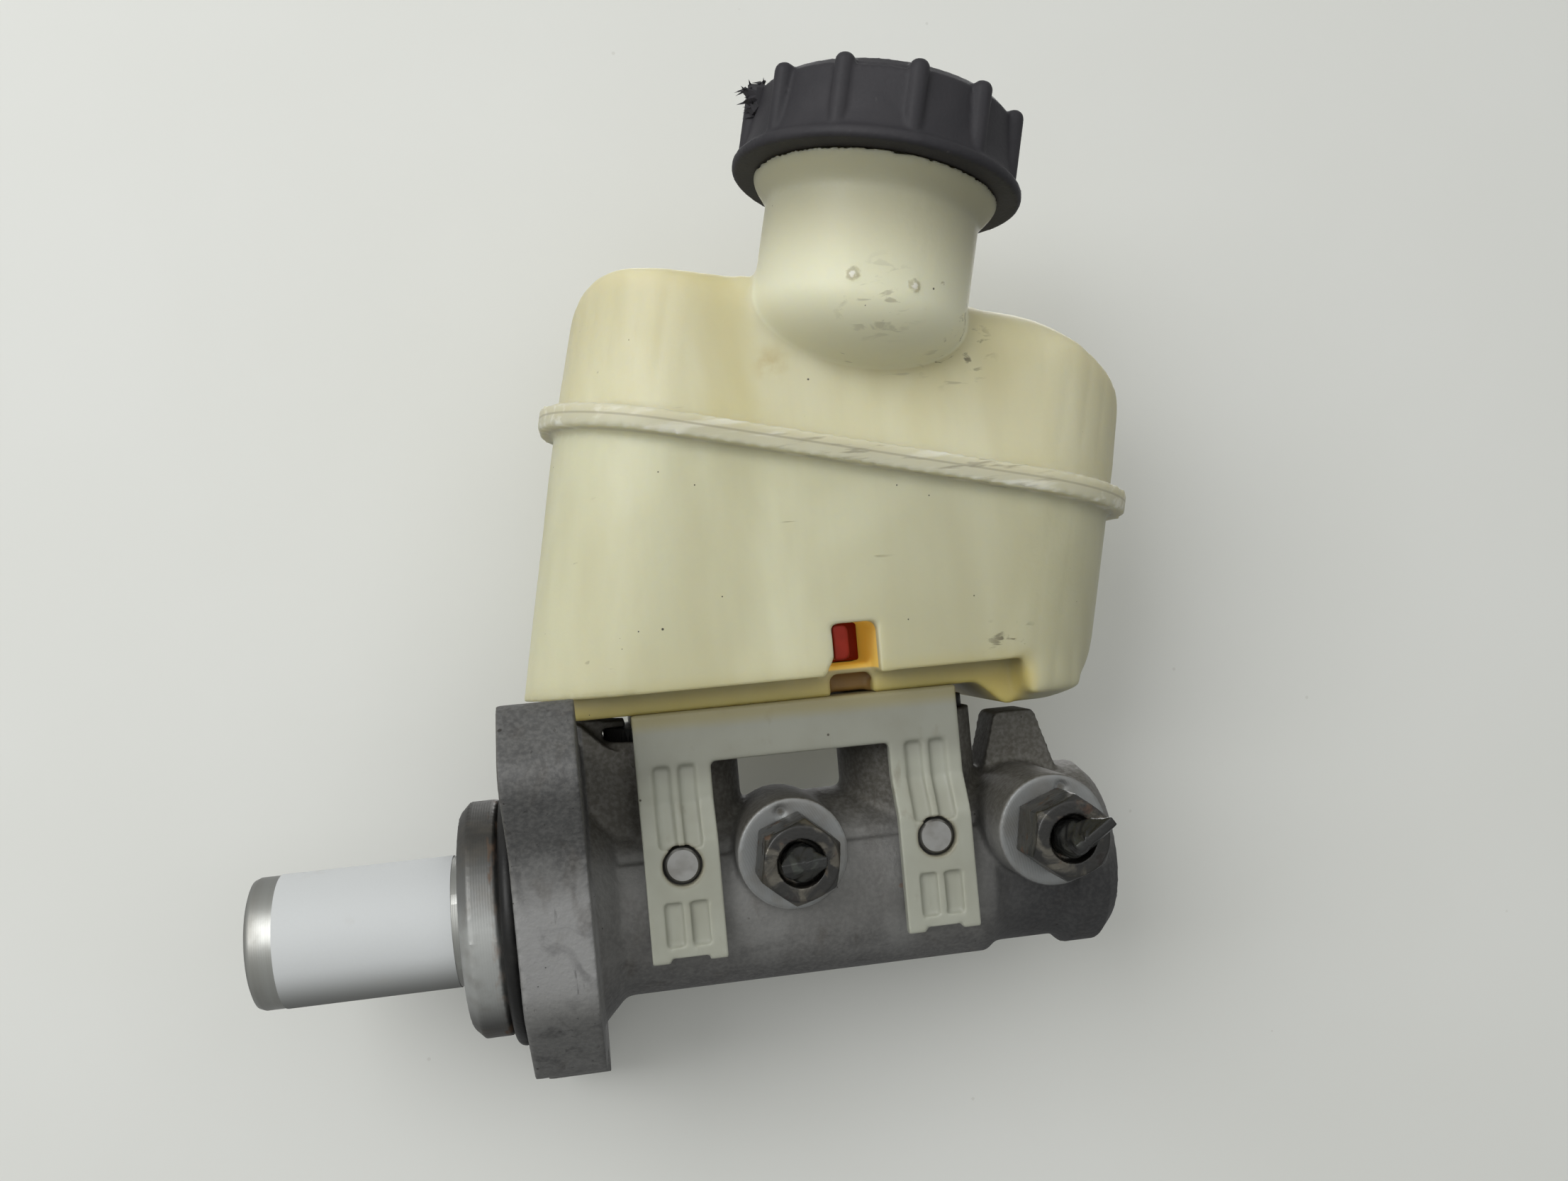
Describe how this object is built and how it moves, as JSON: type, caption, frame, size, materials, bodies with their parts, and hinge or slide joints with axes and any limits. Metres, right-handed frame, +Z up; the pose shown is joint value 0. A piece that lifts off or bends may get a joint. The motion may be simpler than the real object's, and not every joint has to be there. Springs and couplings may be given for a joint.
{
  "type": "brake master cylinder",
  "caption": "Tandem brake master cylinder: cast body with a slanted bolt flange, standing piston, pinched outlet tubes and a clip-on translucent reservoir with screw cap.",
  "frame": {"origin": "where the bore axis meets the flange's mounting face, which is also the centre of the two mounting holes", "axes": "+X forward along the bore, away from the push rod; +Z up to the filler cap; the outlet ports face -Y"},
  "size_m": [0.1815, 0.0959, 0.1982],
  "materials": {
    "cast_aluminium": "as-cast, stained grey",
    "machined_aluminium": "turned, satin",
    "spring_steel": "oiled wire",
    "zinc_steel": "zinc plated, grimy",
    "tube_steel": "black coated, pinched",
    "seal_rubber": "matt",
    "guide_plastic": "plain",
    "clip_plastic": "moulded nylon",
    "reservoir_plastic": "translucent moulded, aged",
    "cap_plastic": "moulded, charcoal",
    "sensor_plastic": "moulded, red-orange",
    "terminal_brass": "tinned",
    "reed_glass": "clear capsule",
    "float_plastic": "foamed",
    "magnet": "sintered"
  },
  "bodies": {
    "cylinder": {"master_body": "cast_aluminium", "pilot_o_ring": "seal_rubber", "retaining_ring": "spring_steel", "vacuum_seal": "seal_rubber", "guide_ring": "guide_plastic", "primary_rear_seal": "seal_rubber", "primary_pressure_seal": "seal_rubber", "separating_seal": "seal_rubber", "secondary_pressure_seal": "seal_rubber", "rear_grommet": "seal_rubber", "front_grommet": "seal_rubber", "rear_tube_nut": "zinc_steel", "front_tube_nut": "zinc_steel", "rear_tube_stub": "tube_steel", "front_tube_stub": "tube_steel", "reservoir_clip": "clip_plastic", "reservoir_lower": "reservoir_plastic", "reservoir_upper": "reservoir_plastic", "reservoir_neck": "reservoir_plastic", "level_sensor": "sensor_plastic", "sensor_terminals": "terminal_brass", "reed_switch": "reed_glass"},
    "primary": {"primary_piston": "machined_aluminium", "retainer_screw": "zinc_steel", "primary_spring": "spring_steel"},
    "secondary": {"secondary_piston": "machined_aluminium", "spring_retainer": "zinc_steel", "secondary_spring": "spring_steel"},
    "float": {"level_float": "float_plastic", "float_magnet": "magnet"},
    "gasket": {"cap_gasket": "seal_rubber"},
    "cap": {"filler_cap": "cap_plastic"}
  },
  "joints": [
    {"name": "primary_push", "type": "slide", "parent": "cylinder", "child": "primary", "axis": [1, 0, 0], "range_m": [0, 0.025], "stiffness_N_per_m": 2000, "springref_m": -0.02, "deforming": ["primary_spring"]},
    {"name": "secondary_push", "type": "slide", "parent": "cylinder", "child": "secondary", "axis": [1, 0, 0], "range_m": [0, 0.0125], "deforming": ["secondary_spring"]},
    {"name": "float_rise", "type": "slide", "parent": "cylinder", "child": "float", "axis": [0, 0, 1], "range_m": [0, 0.012]},
    {"name": "cap_rise", "type": "slide", "parent": "cylinder", "child": "gasket", "axis": [0.2215, 0, 0.9751], "range_m": [0, 0.0075]},
    {"name": "cap_turn", "type": "hinge", "parent": "gasket", "child": "cap", "pos_m": [0.06757, -0.024, 0.08472], "axis": [0.2215, 0, 0.9751], "range_deg": [0, 450]}
  ],
  "couplings": [
    {"joint": "secondary_push", "follows": "primary_push", "ratio": 0.5},
    {"joint": "cap_turn", "follows": "cap_rise", "rad_per_m": 1047.2}
  ]
}
